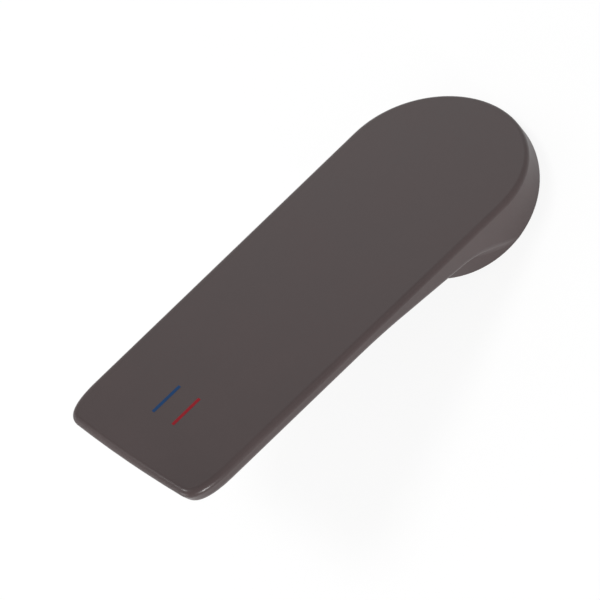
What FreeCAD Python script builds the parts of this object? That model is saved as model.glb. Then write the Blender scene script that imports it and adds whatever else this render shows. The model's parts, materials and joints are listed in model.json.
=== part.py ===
"""Replacement lever handle for a single-lever mixer tap: the die-cast handle and its stem screw.

Frame, in mm: the origin is the middle of the stem socket's mouth, +Z goes up the stem,
+X goes from the head towards the lever's tip.
"""
import FreeCAD
import Part
import math
import os
from FreeCAD import Vector

# Head: an upright round drum under a top face that climbs towards the tip
HEAD_DIAMETER = 46.0
HEAD_HEIGHT = 15.9          # rim to top face, measured on the stem's axis
TOP_SLOPE = 26.0            # degrees

# Lever: a flat paddle with straight sides that touch the head's circle
LEVER_REACH = 93.2          # stem's axis to the ends of the tip's edge, in plan
TIP_WIDTH = 41.1            # between the two sides, drawn on to the tip
TIP_BOW = 0.38              # how far the tip's middle stands in front of its ends
CORNER_ALONG = 9.3          # where a tip corner leaves the side
CORNER_ACROSS = 4.5         # where a tip corner leaves the tip's edge
LEVER_THICKNESS = 5.25      # square to the top face, from the tip to the bend
BEND_START = 48.2           # where the underside begins to bend down towards the head
BEND_RADIUS = 130.0
ROOT_TAPER = 6.2            # degrees by which the root's underside falls more steeply than the top face

# Roundings
TOP_EDGE_RADIUS = 1.35
LOWER_EDGE_RADIUS = 2.4
CREASE_RADIUS = 6.0         # between the underside and the front of the head

# Hollow under the head
WALL = 2.8
ROOF = 3.0                  # square to the top face
ROOF_BEVEL = 1.2
RIM_BEVEL = 0.4             # on both edges of the rim
RIB_THICKNESS = 1.8
RIB_RISE = 1.5              # ribs end this far above the boss's end

# Boss and socket for the cartridge's stem
BOSS_DIAMETER = 16.5
BOSS_RECESS = 2.0           # boss's end above the rim
STEM_ALONG = 8.0
STEM_ACROSS = 9.6
STEM_CLEARANCE = 0.1        # on each side of the stem
SOCKET_DEPTH = 9.0

# Screw that clamps the stem, reached under the lever
SCREW_DIAMETER = 5.0
SCREW_LENGTH = 8.0
SCREW_BEVEL = 0.5
SCREW_HEIGHT = 4.5          # axis above the boss's end
SCREW_SETBACK = 0.2         # point behind the socket's face, so that the stem can enter
THREAD_CLEARANCE = 0.05
KEY_WIDTH = 2.5             # across the flats of the key's socket
KEY_DEPTH = 2.5
ACCESS_DIAMETER = 6.0
ACCESS_GAP = 1.0            # tapped thread left in front of the screw
SCREW_RIB = 9.0             # width of the rib that carries the screw

# Room by which cutting and trimming solids pass the faces that they cut
PASS = 6.0
SEAM_ANGLE = 135.0          # degrees, where a round solid's seam lies

UP = Vector(0, 0, 1)
FORWARD = Vector(1, 0, 0)
SLOPE = math.radians(TOP_SLOPE)
HEAD_RADIUS = HEAD_DIAMETER / 2
HOLLOW_RADIUS = HEAD_RADIUS - WALL
RIM_Z = -BOSS_RECESS
SOCKET_ALONG = STEM_ALONG + 2 * STEM_CLEARANCE
SOCKET_ACROSS = STEM_ACROSS + 2 * STEM_CLEARANCE
SCREW_POINT_X = SOCKET_ALONG / 2 + SCREW_SETBACK
SCREW_END_X = SCREW_POINT_X + SCREW_LENGTH


def top_z(x, depth=0.0):
    """Height of the top face at x, or of the plane that lies depth below it."""
    return RIM_Z + HEAD_HEIGHT + x * math.tan(SLOPE) - depth / math.cos(SLOPE)


def mirrored(point):
    """The point on the other side of the handle's middle plane."""
    return Vector(point.x, -point.y, point.z)


def line(start, end):
    return Part.LineSegment(start, end).toShape()


def bezier(*poles):
    curve = Part.BezierCurve()
    curve.setPoles(list(poles))
    return curve.toShape()


def meeting_point(start, along, other, other_along):
    """Where two lines in plan meet."""
    gap = other - start
    share = gap.cross(other_along).z / along.cross(other_along).z
    return start + along * share


def edge_near(shape, point):
    """The edge of the shape that lies closest to the point."""
    target = Part.Vertex(point)
    return min(shape.Edges, key=lambda edge: edge.distToShape(target)[0])


def upright(wire, low, high):
    """A plan outline drawn at height 0, raised into an upright solid."""
    solid = Part.Face(wire).extrude(UP * (high - low))
    solid.translate(UP * low)
    return solid


def across(edges, width):
    """A side profile in the middle plane, spread evenly to both sides."""
    solid = Part.Face(Part.Wire(edges)).extrude(Vector(0, width, 0))
    solid.translate(Vector(0, -width / 2, 0))
    return solid


def side_line():
    """Where a side touches the head's circle, and where it would meet the tip."""
    corner = Vector(LEVER_REACH, TIP_WIDTH / 2, 0)
    angle = math.atan2(corner.y, corner.x) + math.acos(HEAD_RADIUS / corner.Length)
    touch = Vector(math.cos(angle), math.sin(angle), 0) * HEAD_RADIUS
    return touch, corner


def plan_outline():
    """Head circle, two sides that touch it, a bowed tip and soft corners."""
    touch, corner = side_line()
    side = (corner - touch).normalize()
    leaves_side = corner - side * CORNER_ALONG

    leaves_tip = Vector(LEVER_REACH, TIP_WIDTH / 2 - CORNER_ACROSS, 0)
    tip_radius = (leaves_tip.y ** 2 + TIP_BOW ** 2) / (2 * TIP_BOW)
    tip_turn = math.asin(leaves_tip.y / tip_radius)
    tip_tangent = Vector(-math.sin(tip_turn), math.cos(tip_turn), 0)
    pull = meeting_point(leaves_tip, tip_tangent, corner, side)

    return Part.Wire([
        Part.Arc(mirrored(leaves_tip), Vector(LEVER_REACH + TIP_BOW, 0, 0), leaves_tip).toShape(),
        bezier(leaves_tip, pull, leaves_side),
        line(leaves_side, touch),
        Part.Arc(touch, Vector(-HEAD_RADIUS, 0, 0), mirrored(touch)).toShape(),
        line(mirrored(touch), mirrored(leaves_side)),
        bezier(mirrored(leaves_side), mirrored(pull), mirrored(leaves_tip)),
    ])


def below_plane(depth):
    """Everything that can lie below the plane at this depth under the top face."""
    back = -HEAD_RADIUS - PASS
    front = LEVER_REACH + TIP_BOW + PASS
    floor = min(RIM_Z, top_z(back, depth)) - PASS
    corners = [Vector(back, 0, floor), Vector(front, 0, floor),
               Vector(front, 0, top_z(front, depth)), Vector(back, 0, top_z(back, depth))]
    edges = [line(corners[i - 1], corners[i]) for i in range(4)]
    return across(edges, 2 * (HEAD_DIAMETER + TIP_WIDTH))


def below_lever():
    """The space under the lever: below its flat part, the bend and the root that thickens towards the head."""
    root = SLOPE + math.radians(ROOT_TAPER)
    start = Vector(BEND_START, 0, top_z(BEND_START, LEVER_THICKNESS))
    centre = start + Vector(math.sin(SLOPE), 0, -math.cos(SLOPE)) * BEND_RADIUS

    def bend(angle):
        return centre + Vector(-math.sin(angle), 0, math.cos(angle)) * BEND_RADIUS

    root_start = bend(root)
    front = LEVER_REACH + TIP_BOW + 2 * PASS
    floor = RIM_Z - PASS
    foot = Vector(root_start.x - (root_start.z - floor) / math.tan(root), 0, floor)
    tip = Vector(front, 0, top_z(front, LEVER_THICKNESS))
    edges = [line(foot, root_start),
             Part.Arc(root_start, bend((SLOPE + root) / 2), start).toShape(),
             line(start, tip),
             line(tip, Vector(front, 0, floor)),
             line(Vector(front, 0, floor), foot)]
    return across(edges, 3 * (HEAD_DIAMETER + TIP_WIDTH))


def drum(radius, low, high):
    """An upright round solid on the stem's axis, with its seam clear of the ribs and the lever."""
    solid = Part.makeCylinder(radius, high - low, Vector(0, 0, low), UP)
    solid.rotate(Vector(0, 0, 0), UP, SEAM_ANGLE)
    return solid


def outer_form():
    """The handle without its hollow: lever and head in one, with every outer edge rounded."""
    tip_x = LEVER_REACH + TIP_BOW
    low = RIM_Z - PASS
    high = top_z(tip_x) + PASS
    sloped = below_plane(0.0)

    # The crease is rounded while the lever is still wider than the head
    wide = sloped.cut(below_lever()).fuse(drum(HEAD_RADIUS, low, high).common(sloped)).removeSplitter()
    crease = edge_near(wide, Vector(HEAD_RADIUS, 0, top_z(HEAD_RADIUS, 2 * LEVER_THICKNESS)))
    wide = wide.makeFillet(CREASE_RADIUS, [crease])

    form = wide.common(upright(plan_outline(), RIM_Z, high)).removeSplitter()
    form = form.makeFillet(TOP_EDGE_RADIUS, [edge_near(form, Vector(tip_x, 0, top_z(tip_x)))])
    lower_edge = edge_near(form, Vector(tip_x, 0, top_z(tip_x, LEVER_THICKNESS)))
    form = form.makeFillet(LOWER_EDGE_RADIUS, [lower_edge])
    return form.cut(rim_bevel())


def rim_bevel():
    """The ring of metal taken off the rim's outer edge."""
    low = RIM_Z - PASS
    inner = Vector(HEAD_RADIUS - RIM_BEVEL - PASS, 0, low)
    outer = Vector(HEAD_RADIUS + PASS, 0, low)
    high = outer + UP * (outer.x - inner.x)
    return Part.Face(Part.makePolygon([inner, outer, high, inner])).revolve(Vector(0, 0, 0), UP, 360)


def hollow():
    """The hollow under the head, which leaves the boss, three ribs and the screw's rib standing."""
    low = RIM_Z - PASS
    high = top_z(HEAD_RADIUS)
    space = drum(HOLLOW_RADIUS, low, high).common(below_plane(ROOF))
    space = space.makeChamfer(ROOF_BEVEL, [edge_near(space, Vector(HOLLOW_RADIUS, 0, top_z(HOLLOW_RADIUS, ROOF)))])

    side_ribs = Part.makeBox(RIB_THICKNESS, HEAD_DIAMETER, high, Vector(-RIB_THICKNESS / 2, -HEAD_RADIUS, RIB_RISE))
    back_rib = Part.makeBox(HEAD_RADIUS, RIB_THICKNESS, high, Vector(-HEAD_RADIUS, -RIB_THICKNESS / 2, RIB_RISE))
    space = space.cut(drum(BOSS_DIAMETER / 2, 0.0, high).multiFuse([side_ribs, back_rib, screw_rib(high)]))

    bevel_radius = HOLLOW_RADIUS + RIM_BEVEL
    mouth = Part.makeCone(bevel_radius + PASS, HOLLOW_RADIUS, RIM_BEVEL + PASS, Vector(0, 0, RIM_Z - PASS), UP)
    return space.fuse(mouth)


def screw_rib(high):
    """The thick rib from the boss to the front of the head, round below where the screw runs through it."""
    half = SCREW_RIB / 2
    left = Vector(0, -half, SCREW_HEIGHT)
    right = Vector(0, half, SCREW_HEIGHT)
    top_left = Vector(0, -half, high)
    top_right = Vector(0, half, high)
    profile = Part.Wire([Part.Arc(left, Vector(0, 0, SCREW_HEIGHT - half), right).toShape(),
                         line(right, top_right), line(top_right, top_left), line(top_left, left)])
    return Part.Face(profile).extrude(FORWARD * HEAD_RADIUS)


def stem_socket():
    """The rectangular hole that slides down over the cartridge's stem."""
    corner = Vector(-SOCKET_ALONG / 2, -SOCKET_ACROSS / 2, -PASS)
    return Part.makeBox(SOCKET_ALONG, SOCKET_ACROSS, SOCKET_DEPTH + PASS, corner)


def screw_hole():
    """Tapped from the socket outwards, then wide enough for the key from the front of the head."""
    tapped_end = SCREW_END_X + ACCESS_GAP
    tapped = Part.makeCylinder(SCREW_DIAMETER / 2 + THREAD_CLEARANCE, tapped_end, Vector(0, 0, SCREW_HEIGHT), FORWARD)
    access = Part.makeCylinder(ACCESS_DIAMETER / 2, HEAD_RADIUS, Vector(tapped_end, 0, SCREW_HEIGHT), FORWARD)
    return tapped.fuse(access)


def handle_casting():
    return outer_form().cut(hollow()).cut(stem_socket()).cut(screw_hole())


def grub_screw():
    """Headless screw with a flat point, bevelled ends and a socket for a hexagon key."""
    radius = SCREW_DIAMETER / 2
    body = Part.makeCylinder(radius, SCREW_LENGTH, Vector(SCREW_POINT_X, 0, SCREW_HEIGHT), FORWARD)
    ends = [edge_near(body, Vector(x, 0, SCREW_HEIGHT + radius)) for x in (SCREW_POINT_X, SCREW_END_X)]
    body = body.makeChamfer(SCREW_BEVEL, ends)

    key_radius = KEY_WIDTH / math.sqrt(3)
    angles = [math.radians(60 * i) for i in range(7)]
    hexagon = Part.makePolygon([
        Vector(SCREW_END_X - KEY_DEPTH, key_radius * math.sin(a), SCREW_HEIGHT + key_radius * math.cos(a))
        for a in angles])
    return body.cut(Part.Face(hexagon).extrude(FORWARD * KEY_DEPTH))


def main():
    os.makedirs("parts", exist_ok=True)
    handle_casting().exportStep("parts/handle_casting.step")
    grub_screw().exportStep("parts/grub_screw.step")


main()
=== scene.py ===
"""Looks of the mixer tap's lever handle: coat, temperature marks, clamping screw and photo stage."""
import json
import math

import bmesh
import bpy
from bpy.props import FloatProperty, FloatVectorProperty, PointerProperty
from mathutils import Euler, Matrix, Vector


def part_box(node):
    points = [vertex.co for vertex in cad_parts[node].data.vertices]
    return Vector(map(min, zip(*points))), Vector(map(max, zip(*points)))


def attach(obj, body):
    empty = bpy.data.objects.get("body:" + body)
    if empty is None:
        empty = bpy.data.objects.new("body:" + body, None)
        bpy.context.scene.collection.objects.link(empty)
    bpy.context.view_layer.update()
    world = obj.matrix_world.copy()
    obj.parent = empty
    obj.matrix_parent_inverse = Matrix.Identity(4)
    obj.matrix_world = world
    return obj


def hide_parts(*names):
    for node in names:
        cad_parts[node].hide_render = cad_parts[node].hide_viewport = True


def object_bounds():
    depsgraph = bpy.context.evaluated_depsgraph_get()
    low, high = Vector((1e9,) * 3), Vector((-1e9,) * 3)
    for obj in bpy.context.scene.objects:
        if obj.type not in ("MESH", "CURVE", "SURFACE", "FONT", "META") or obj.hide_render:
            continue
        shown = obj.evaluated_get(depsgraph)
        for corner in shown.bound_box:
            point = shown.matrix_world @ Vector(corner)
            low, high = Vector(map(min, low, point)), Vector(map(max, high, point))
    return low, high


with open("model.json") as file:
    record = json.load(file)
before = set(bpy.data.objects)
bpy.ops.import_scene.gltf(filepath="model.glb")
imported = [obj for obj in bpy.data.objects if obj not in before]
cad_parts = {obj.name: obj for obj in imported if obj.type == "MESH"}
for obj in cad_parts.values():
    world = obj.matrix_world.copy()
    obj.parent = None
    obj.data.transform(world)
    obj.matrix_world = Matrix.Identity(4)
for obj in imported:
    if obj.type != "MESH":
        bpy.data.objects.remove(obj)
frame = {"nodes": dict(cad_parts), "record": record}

bl_info = {
    "name": "Lever handle looks",
    "version": (1, 0, 0),
    "blender": (4, 5, 0),
    "location": "View3D > Sidebar > Handle",
    "description": "Dresses the packed lever handle and sets its photo stage",
    "category": "Object",
}

CAD_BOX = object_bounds()
FLOOR_HEIGHT = CAD_BOX[0].z
TIP_X = CAD_BOX[1].x
SCREW_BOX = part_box("grub_screw")
FINISHES = {finish["slot"]: finish["base_color"][:3] for finish in frame["record"]["materials"]}

# Top face of the lever: a plane that climbs towards the tip
TOP_SLOPE = math.radians(26.0)
TOP_ON_AXIS = 0.0139

# Hollow of the head: what lies this deep below the top face and this near to the stem's axis
SKIN_DEPTH = 0.0022
HOLLOW_RADIUS = 0.0207

# Enamel of the marks: size and height of the brush drift, roundness of the bars
BRUSH_SIZE = 0.0009
BRUSH_HEIGHT = 0.000004
BAR_CORNER_SHARE = 0.22
BAR_EDGE_SHARE = 0.8
BAR_EDGE_MIDDLE = 0.3

# Steel of the screw: turning lines, squeezed along the screw and drawn out around it, and stain
TURNING_SIZE = 0.0004
TURNING_STRETCH = (6.0, 0.4, 0.4)
TURNING_HEIGHT = 0.000003
STAIN_SIZE = 0.0016

# Mesh of the screw: facets around, rings in each turn, groove's half width in turns, drilled cone
FACETS = 48
RINGS_PER_TURN = 8
GROOVE_HALF = 0.42
DRILL_SHARE = 0.98
DRILL_CONE = 0.5

# Softboxes: azimuth and elevation in degrees from the handle's middle, and the lengths of the sides
SOFTBOX_DISTANCE = 1.0
SOFTBOXES = {
    "key": (-60.0, 74.5, (0.25, 0.25)),
    "side": (76.0, 3.0, (0.12, 0.06)),
    "front": (-5.0, 14.0, (0.6, 0.5)),
    "edge": (152.0, 33.0, (0.5, 0.4)),
    "head": (214.0, 22.0, (0.7, 0.5)),
    "left": (303.0, 25.0, (0.7, 0.5)),
}
FLOOR_WHITENESS = 0.8
SENSOR_WIDTH = 36.0
NEAREST_VIEW = 0.01


def measure(name, text, value):
    return FloatProperty(name=name, description=text, default=value, min=0.0, unit="LENGTH", precision=5)


def share(name, text, value):
    return FloatProperty(name=name, description=text, default=value, min=0.0, max=1.0, subtype="FACTOR")


def colour(name, text, value):
    return FloatVectorProperty(name=name, description=text, default=value, min=0.0, max=1.0,
                               subtype="COLOR")


def power(name, text, value):
    return FloatProperty(name=name, description=text, default=value, min=0.0, unit="POWER")


class CoatSettings(bpy.types.PropertyGroup):
    """Satin graphite coat on the casting, and the duller skin inside its hollow."""
    base: colour("Coat", "Colour of the coat", (0.0486, 0.0332, 0.0330))
    roughness: share("Roughness", "How matt the coat is", 0.345)
    sheen: share("Sheen", "How much the coat mirrors", 0.30)
    mottle: share("Mottle", "How far the colour drifts over the surface", 0.06)
    mottle_size: measure("Mottle size", "Size of the patches in which the colour drifts", 0.016)
    grain_size: measure("Grain size", "Size of the coat's fine grain", 0.00026)
    grain_depth: measure("Grain depth", "Depth of the fine grain", 0.0000022)
    peel_size: measure("Peel size", "Size of the coat's soft waves", 0.0024)
    peel_depth: measure("Peel depth", "Depth of the soft waves", 0.0000035)
    skin: colour("Hollow", "Colour of the thinly coated skin in the hollow", (0.075, 0.070, 0.068))
    skin_size: measure("Skin size", "Size of the flow marks in the hollow", 0.0011)


class MarkSettings(bpy.types.PropertyGroup):
    """The two short temperature lines inlaid in the top face near the tip."""
    length: measure("Length", "Length of a line", 0.0086)
    width: measure("Width", "Width of a line", 0.00079)
    apart: measure("Apart", "Distance between the middles of the lines", 0.0061)
    aside: measure("Aside", "How far the pair sits off the middle, towards the cold side", 0.00036)
    from_tip: measure("From tip", "Middle of the lines from the tip, along the face", 0.01725)
    proud: measure("Proud", "How far the enamel stands above the coat", 0.00003)
    sunk: measure("Sunk", "How far the enamel reaches into the coat", 0.00012)
    sheen: share("Sheen", "How much the enamel mirrors", 0.17)
    cold: colour("Cold", "Enamel of the cold side's line", (0.002, 0.035, 0.115))
    hot: colour("Hot", "Enamel of the hot side's line", (0.232, 0.003, 0.010))


class ScrewSettings(bpy.types.PropertyGroup):
    """The headless clamping screw."""
    pitch: measure("Pitch", "Distance between the thread's turns", 0.0008)
    thread_depth: measure("Thread depth", "Crest to root of the thread", 0.00042)
    bevel: measure("Bevel", "Bevel at both ends", 0.0005)
    key_width: measure("Key width", "Across the flats of the key's socket", 0.0025)
    key_depth: measure("Key depth", "Depth of the key's socket", 0.0025)
    steel: colour("Steel", "Colour of the screw's steel", FINISHES["screw_steel"])


class StageSettings(bpy.types.PropertyGroup):
    """Floor, lamps and camera."""
    floor_side: measure("Floor side", "Side of the square floor", 1.6)
    floor_glow: share("Floor glow", "Share of the floor's white that no shadow takes away", 0.88)
    mirror_glow: share("Mirror glow", "The same share for the floor's reflection in the coat", 0.40)
    surround: share("Surround", "Brightness of the room's light on the stage", 0.45)
    key: power("Key lamp", "Power of the softbox overhead", 4.0)
    side: power("Side lamp", "Power of the small low softbox beside the lever", 6.9)
    front: power("Front lamp", "Power of the softbox in front of the tip", 3.8)
    edge: power("Edge lamp", "Power of the softbox that fills the lever's upper edge", 0.30)
    head: power("Head lamp", "Power of the softbox behind the head", 1.0)
    left: power("Left lamp", "Power of the softbox on the cold side", 1.5)
    camera_at: FloatVectorProperty(name="Camera", description="Place of the camera", unit="LENGTH",
                                   subtype="TRANSLATION", default=(0.063191, 0.209716, 0.372978))
    camera_turn: FloatVectorProperty(name="Turn", description="Turn of the camera", subtype="EULER",
                                     default=[math.radians(a) for a in (19.927, 25.1327, 125.156)])
    lens: FloatProperty(name="Lens", description="Focal length of the camera", default=105.446,
                        unit="CAMERA")


class HandleLooks(bpy.types.PropertyGroup):
    """Everything that a user would change on the handle's looks."""
    coat: PointerProperty(type=CoatSettings)
    marks: PointerProperty(type=MarkSettings)
    screw: PointerProperty(type=ScrewSettings)
    stage: PointerProperty(type=StageSettings)


class Paint:
    """A material under construction: adds nodes, sets their values and links them."""

    def __init__(self, name):
        self.material = bpy.data.materials.new(name)
        self.material.use_nodes = True
        self.tree = self.material.node_tree
        self.shader = self.tree.nodes["Principled BSDF"]
        self.place = self.add("ShaderNodeTexCoord").outputs["Object"]

    def add(self, kind, settings=None, **inputs):
        node = self.tree.nodes.new(kind)
        for key, value in (settings or {}).items():
            setattr(node, key, value)
        for key, value in inputs.items():
            self.put(node.inputs[key.replace("_", " ")], value)
        return node

    def put(self, socket, value):
        if isinstance(value, bpy.types.NodeSocket):
            self.tree.links.new(value, socket)
        elif socket.type == "RGBA":
            socket.default_value = (*value, 1.0)
        else:
            socket.default_value = value

    def noise(self, size, detail=2.0, place=None):
        place = place or self.place
        node = self.add("ShaderNodeTexNoise", Vector=place, Scale=1.0 / size, Detail=detail)
        return node.outputs["Fac"]

    def calc(self, operation, first, second=0.0):
        node = self.add("ShaderNodeMath", {"operation": operation})
        self.put(node.inputs[0], first)
        self.put(node.inputs[1], second)
        return node.outputs[0]

    def spread(self, value, low, high):
        """Maps the middle of a noise, 0.3 to 0.7, to the range low to high."""
        node = self.add("ShaderNodeMapRange", {"clamp": True}, Value=value, From_Min=0.3, From_Max=0.7,
                        To_Min=low, To_Max=high)
        return node.outputs["Result"]

    def mix(self, factor, first, second, kind="RGBA"):
        node = self.add("ShaderNodeMix", {"data_type": kind})
        first_in, second_in, out = {"RGBA": (6, 7, 2), "FLOAT": (2, 3, 0)}[kind]
        self.put(node.inputs[0], factor)
        self.put(node.inputs[first_in], first)
        self.put(node.inputs[second_in], second)
        return node.outputs[out]

    def drift(self, noise, base, darkest, lightest):
        """A colour that follows a noise between two shades of itself."""
        return self.mix(self.spread(noise, 0.0, 1.0), shade(base, darkest), shade(base, lightest))

    def bump(self, height, depth, below=None):
        node = self.add("ShaderNodeBump", Height=height, Distance=depth, Strength=1.0)
        if below is not None:
            self.put(node.inputs["Normal"], below)
        return node.outputs["Normal"]

    def set(self, **values):
        for key, value in values.items():
            self.put(self.shader.inputs[key.replace("_", " ")], value)


def shade(base, factor):
    return tuple(min(1.0, channel * factor) for channel in base)


def in_hollow(paint):
    """1 on the surfaces of the hollow under the head, 0 on the outside."""
    x, y, z = paint.add("ShaderNodeSeparateXYZ", Vector=paint.place).outputs
    rise = paint.calc("MULTIPLY", x, math.tan(TOP_SLOPE))
    depth = paint.calc("SUBTRACT", paint.calc("ADD", rise, TOP_ON_AXIS), z)
    deep = paint.calc("GREATER_THAN", depth, SKIN_DEPTH)
    squares = paint.calc("ADD", paint.calc("POWER", x, 2.0), paint.calc("POWER", y, 2.0))
    inside = paint.calc("LESS_THAN", paint.calc("SQRT", squares), HOLLOW_RADIUS)
    return paint.calc("MULTIPLY", deep, inside)


def graphite_coat(looks):
    """Satin graphite: drifting colour, soft waves and a fine grain; duller where the coat is thin."""
    paint = Paint("graphite_coat_satin")
    hollow = in_hollow(paint)
    patches = paint.noise(looks.mottle_size, 3.0)
    fleck = paint.noise(looks.grain_size, 1.0)
    flow = paint.noise(looks.skin_size, 4.0)

    outside = paint.drift(patches, looks.base, 1.0 - looks.mottle, 1.0 + looks.mottle)
    outside = paint.mix(paint.spread(fleck, 0.0, 0.18), outside, shade(looks.base, 1.35))
    skin = paint.drift(flow, looks.skin, 0.75, 1.2)
    satin = paint.spread(patches, looks.roughness - 0.03, looks.roughness + 0.03)
    dull = paint.spread(flow, 0.52, 0.70)
    peel = paint.bump(paint.noise(looks.peel_size, 2.0), looks.peel_depth)

    paint.set(Base_Color=paint.mix(hollow, outside, skin),
              Roughness=paint.mix(hollow, satin, dull, "FLOAT"),
              Normal=paint.bump(fleck, looks.grain_depth, peel),
              IOR=1.5,
              Specular_IOR_Level=looks.sheen)
    return paint.material


def enamel(name, base, sheen):
    """Hard enamel with faint brush drift."""
    paint = Paint(name)
    strokes = paint.noise(BRUSH_SIZE, 3.0)
    paint.set(Base_Color=paint.drift(strokes, base, 0.88, 1.12),
              Roughness=paint.spread(strokes, 0.40, 0.52),
              Normal=paint.bump(strokes, BRUSH_HEIGHT),
              Specular_IOR_Level=sheen)
    return paint.material


def turned_steel(base):
    """Bright steel with fine turning lines and a little stain."""
    paint = Paint("screw_steel_turned")
    stretched = paint.add("ShaderNodeMapping", Vector=paint.place, Scale=TURNING_STRETCH)
    lines = paint.noise(TURNING_SIZE, 2.0, stretched.outputs["Vector"])
    stain = paint.noise(STAIN_SIZE, 3.0)
    paint.set(Base_Color=paint.drift(stain, base, 0.72, 1.1),
              Metallic=1.0,
              Roughness=paint.spread(lines, 0.24, 0.42),
              Normal=paint.bump(lines, TURNING_HEIGHT))
    return paint.material


def new_piece(name, mesh, material):
    """Makes a mesh of one material into an object of the scene."""
    piece = bpy.data.objects.new(name, mesh)
    bpy.context.scene.collection.objects.link(piece)
    mesh.materials.append(material)
    return piece


def mesh_from(name, body):
    bmesh.ops.recalc_face_normals(body, faces=body.faces)
    mesh = bpy.data.meshes.new(name)
    body.to_mesh(mesh)
    body.free()
    return mesh


def skin_between(body, first, second):
    """Closes the space between two rings of points with a band of faces."""
    count = len(first)
    for i in range(count):
        j = (i + 1) % count
        body.faces.new((first[i], first[j], second[j], second[i]))


def bar_outline(long_side, short_side, corner, steps=6):
    """A rectangle with rounded corners, as points in order."""
    points = []
    for turn, (sign_x, sign_y) in enumerate(((1, 1), (-1, 1), (-1, -1), (1, -1))):
        centre = Vector((sign_x * (long_side / 2 - corner), sign_y * (short_side / 2 - corner), 0.0))
        for step in range(steps + 1):
            angle = math.pi / 2 * (turn + step / steps)
            points.append(centre + Vector((math.cos(angle), math.sin(angle), 0.0)) * corner)
    return points


def inlaid_line(name, looks):
    """A slim bar of enamel with soft corners and a rounded upper edge, lying in the plane z = 0."""
    body = bmesh.new()
    edge = looks.proud * BAR_EDGE_SHARE
    part = edge * BAR_EDGE_MIDDLE
    steps = ((0.0, -looks.sunk), (0.0, looks.proud - edge), (part, looks.proud - part), (edge, looks.proud))
    rows = []
    for inset, height in steps:
        corner = looks.width * BAR_CORNER_SHARE - inset
        outline = bar_outline(looks.length - 2 * inset, looks.width - 2 * inset, corner)
        rows.append([body.verts.new(point + Vector((0.0, 0.0, height))) for point in outline])
    for lower, upper in zip(rows, rows[1:]):
        skin_between(body, lower, upper)
    body.faces.new(rows[0])
    body.faces.new(rows[-1])
    return mesh_from(name, body)


def threaded_screw(looks):
    """Headless screw along +X: thread, bevelled ends, a flat point and a hexagon socket."""
    low, high = SCREW_BOX
    radius = (high.y - low.y) / 2
    axis = Vector((0.0, (low.y + high.y) / 2, (low.z + high.z) / 2))
    angles = [2 * math.pi * i / FACETS for i in range(FACETS)]
    body = bmesh.new()

    def ring(x, reaches):
        return [body.verts.new(axis + Vector((x, math.sin(angle) * reach, math.cos(angle) * reach)))
                for angle, reach in zip(angles, reaches)]

    along = int(round((high.x - low.x) / looks.pitch * RINGS_PER_TURN))
    rings = []
    for step in range(along + 1):
        x = low.x + (high.x - low.x) * step / along
        at_end = radius - looks.bevel + min(x - low.x, high.x - x)
        reaches = []
        for i in range(FACETS):
            phase = (x / looks.pitch - i / FACETS) % 1.0
            groove = max(0.0, 1.0 - abs(phase - 0.5) / GROOVE_HALF)
            reaches.append(min(radius - looks.thread_depth * groove, at_end))
        rings.append(ring(x, reaches))

    # Hexagon socket, with a drilled cone at its bottom
    flat = looks.key_width / 2
    bottom_x = high.x - looks.key_depth
    hexagon = [flat / math.cos(angle % (math.pi / 3) - math.pi / 6) for angle in angles]
    rings.append(ring(high.x, hexagon))
    rings.append(ring(bottom_x, hexagon))
    rings.append(ring(bottom_x, [flat * DRILL_SHARE] * FACETS))
    for near, far in zip(rings, rings[1:]):
        skin_between(body, near, far)
    body.faces.new(rings[0])
    tip = body.verts.new(axis + Vector((bottom_x - flat * DRILL_CONE, 0.0, 0.0)))
    drill = rings[-1]
    for i in range(FACETS):
        body.faces.new((drill[i], drill[(i + 1) % FACETS], tip))
    return mesh_from("clamping_screw", body)


def lamp(name, place, target, size, watts):
    """A soft rectangular lamp that faces the target."""
    data = bpy.data.lights.new(name, "AREA")
    data.shape = "RECTANGLE"
    data.size, data.size_y = size
    data.energy = watts
    rig = bpy.data.objects.new(name, data)
    rig.location = place
    rig.rotation_euler = (target - place).to_track_quat("-Z", "Y").to_euler()
    bpy.context.scene.collection.objects.link(rig)


def either(tree, first, second):
    """1 where one of two switches is 1."""
    node = tree.nodes.new("ShaderNodeMath")
    node.operation = "MAXIMUM"
    tree.links.new(first, node.inputs[0])
    tree.links.new(second, node.inputs[1])
    return node.outputs[0]


def ray_kinds(tree):
    """Two switches: 1 for rays from the camera, and 1 for mirrored rays and rays through glass."""
    path = tree.nodes.new("ShaderNodeLightPath").outputs
    return path["Is Camera Ray"], either(tree, path["Is Glossy Ray"], path["Is Transmission Ray"])


def choose(tree, switch, off, on):
    """One of two shaders, by a switch."""
    node = tree.nodes.new("ShaderNodeMixShader")
    for socket, source in zip(node.inputs, (switch, off, on)):
        tree.links.new(source, socket)
    return node.outputs[0]


def matt_white(tree, whiteness):
    node = tree.nodes.new("ShaderNodeBsdfDiffuse")
    node.inputs["Color"].default_value = (whiteness, whiteness, whiteness, 1.0)
    return node.outputs[0]


def shadowed_white(tree, glow):
    """White that keeps the share glow in the handle's shadow."""
    light = tree.nodes.new("ShaderNodeEmission")
    light.inputs["Strength"].default_value = glow
    node = tree.nodes.new("ShaderNodeAddShader")
    tree.links.new(light.outputs[0], node.inputs[0])
    tree.links.new(matt_white(tree, 1.0 - glow), node.inputs[1])
    return node.outputs[0]


def white_floor(looks):
    """White for the eye and in reflections, each with its own depth of the handle's shadow."""
    material = bpy.data.materials.new("stage_white")
    material.use_nodes = True
    tree = material.node_tree
    tree.nodes.clear()
    eye, mirror = ray_kinds(tree)
    surface = choose(tree, eye, matt_white(tree, FLOOR_WHITENESS), shadowed_white(tree, looks.floor_glow))
    surface = choose(tree, mirror, surface, shadowed_white(tree, looks.mirror_glow))
    out = tree.nodes.new("ShaderNodeOutputMaterial")
    tree.links.new(surface, out.inputs["Surface"])
    return material


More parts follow.
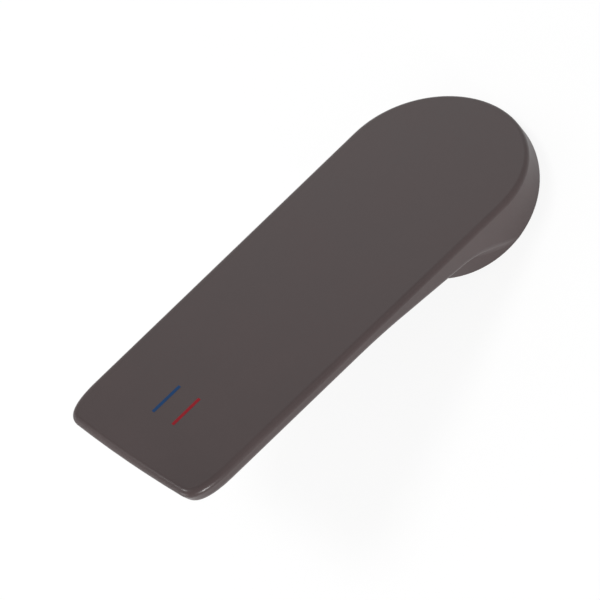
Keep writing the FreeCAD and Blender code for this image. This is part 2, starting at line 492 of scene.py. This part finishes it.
def white_room(strength):
    """A plain white room: full white where it is seen or mirrored, dimmer where it lights the stage."""
    world = bpy.data.worlds.new("stage_room")
    bpy.context.scene.world = world
    world.use_nodes = True
    tree = world.node_tree
    dim = tree.nodes["Background"]
    white = tree.nodes.new("ShaderNodeBackground")
    for node, level in ((dim, strength), (white, 1.0)):
        node.inputs["Color"].default_value = (1.0, 1.0, 1.0, 1.0)
        node.inputs["Strength"].default_value = level
    seen = choose(tree, either(tree, *ray_kinds(tree)), dim.outputs[0], white.outputs[0])
    tree.links.new(seen, tree.nodes["World Output"].inputs["Surface"])


def floor_mesh(side):
    body = bmesh.new()
    half = side / 2
    corners = ((-half, -half), (half, -half), (half, half), (-half, half))
    body.faces.new([body.verts.new((x, y, FLOOR_HEIGHT)) for x, y in corners])
    return mesh_from("floor", body)


def photo_camera(looks):
    """The camera at the photograph's viewing angle."""
    data = bpy.data.cameras.new("photo_camera")
    data.sensor_width = SENSOR_WIDTH
    data.lens = looks.lens
    data.clip_start = NEAREST_VIEW
    camera = bpy.data.objects.new("photo_camera", data)
    camera.location = looks.camera_at
    camera.rotation_euler = Euler(looks.camera_turn)
    bpy.context.scene.collection.objects.link(camera)
    return camera


class HANDLE_OT_coat(bpy.types.Operator):
    """Give the casting its satin graphite coat"""
    bl_idname = "handle.coat"
    bl_label = "Coat the casting"

    def execute(self, context):
        casting = frame["nodes"]["handle_casting"]
        casting.data.materials[0] = graphite_coat(context.scene.handle_looks.coat)
        return {"FINISHED"}


class HANDLE_OT_marks(bpy.types.Operator):
    """Inlay the cold and hot lines in the top face"""
    bl_idname = "handle.marks"
    bl_label = "Inlay the temperature marks"

    def execute(self, context):
        looks = context.scene.handle_looks.marks
        x = TIP_X - looks.from_tip * math.cos(TOP_SLOPE)
        z = TOP_ON_AXIS + x * math.tan(TOP_SLOPE)
        lie = Matrix.Rotation(-TOP_SLOPE, 4, "Y")
        for name, side, base in (("cold_mark", -1, looks.cold), ("hot_mark", 1, looks.hot)):
            mesh = inlaid_line(name, looks)
            mesh.transform(Matrix.Translation((x, side * looks.apart / 2 - looks.aside, z)) @ lie)
            mark = new_piece(name, mesh, enamel(name + "_enamel", base, looks.sheen))
            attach(mark, "root")
        return {"FINISHED"}


class HANDLE_OT_screw(bpy.types.Operator):
    """Cut the thread and the key's socket of the clamping screw"""
    bl_idname = "handle.screw"
    bl_label = "Make the clamping screw"

    def execute(self, context):
        looks = context.scene.handle_looks.screw
        screw = new_piece("clamping_screw", threaded_screw(looks), turned_steel(looks.steel))
        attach(screw, "root")
        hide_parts("grub_screw")
        return {"FINISHED"}


class HANDLE_OT_stage(bpy.types.Operator):
    """Lay the white floor and set the lamps and the camera"""
    bl_idname = "handle.stage"
    bl_label = "Set the stage"

    def execute(self, context):
        looks = context.scene.handle_looks.stage
        context.scene.view_settings.view_transform = "Standard"
        new_piece("floor", floor_mesh(looks.floor_side), white_floor(looks))
        white_room(looks.surround)
        middle = (CAD_BOX[0] + CAD_BOX[1]) / 2
        for name, (azimuth, elevation, size) in SOFTBOXES.items():
            away = Vector((SOFTBOX_DISTANCE, 0.0, 0.0))
            away.rotate(Euler((0.0, -math.radians(elevation), math.radians(azimuth))))
            lamp(name + "_softbox", middle + away, middle, size, getattr(looks, name))
        context.scene.camera = photo_camera(looks)
        return {"FINISHED"}


class HANDLE_PT_looks(bpy.types.Panel):
    """Sizes and colours of the handle's looks"""
    bl_idname = "HANDLE_PT_looks"
    bl_label = "Lever handle"
    bl_space_type = "VIEW_3D"
    bl_region_type = "UI"
    bl_category = "Handle"

    def draw(self, context):
        looks = context.scene.handle_looks
        for operator, group in zip(OPERATORS, (looks.coat, looks.marks, looks.screw, looks.stage)):
            box = self.layout.box()
            box.operator(operator.bl_idname)
            for name in group.bl_rna.properties.keys():
                if name not in ("rna_type", "name"):
                    box.prop(group, name)


SETTINGS = (CoatSettings, MarkSettings, ScrewSettings, StageSettings, HandleLooks)
OPERATORS = (HANDLE_OT_coat, HANDLE_OT_marks, HANDLE_OT_screw, HANDLE_OT_stage)
CLASSES = (*SETTINGS, *OPERATORS, HANDLE_PT_looks)


def register():
    for each in CLASSES:
        bpy.utils.register_class(each)
    bpy.types.Scene.handle_looks = PointerProperty(type=HandleLooks)


def unregister():
    del bpy.types.Scene.handle_looks
    for each in reversed(CLASSES):
        bpy.utils.unregister_class(each)


def main():
    register()
    bpy.ops.handle.coat()
    bpy.ops.handle.marks()
    bpy.ops.handle.screw()
    bpy.ops.handle.stage()


if __name__ == "__main__":
    main()
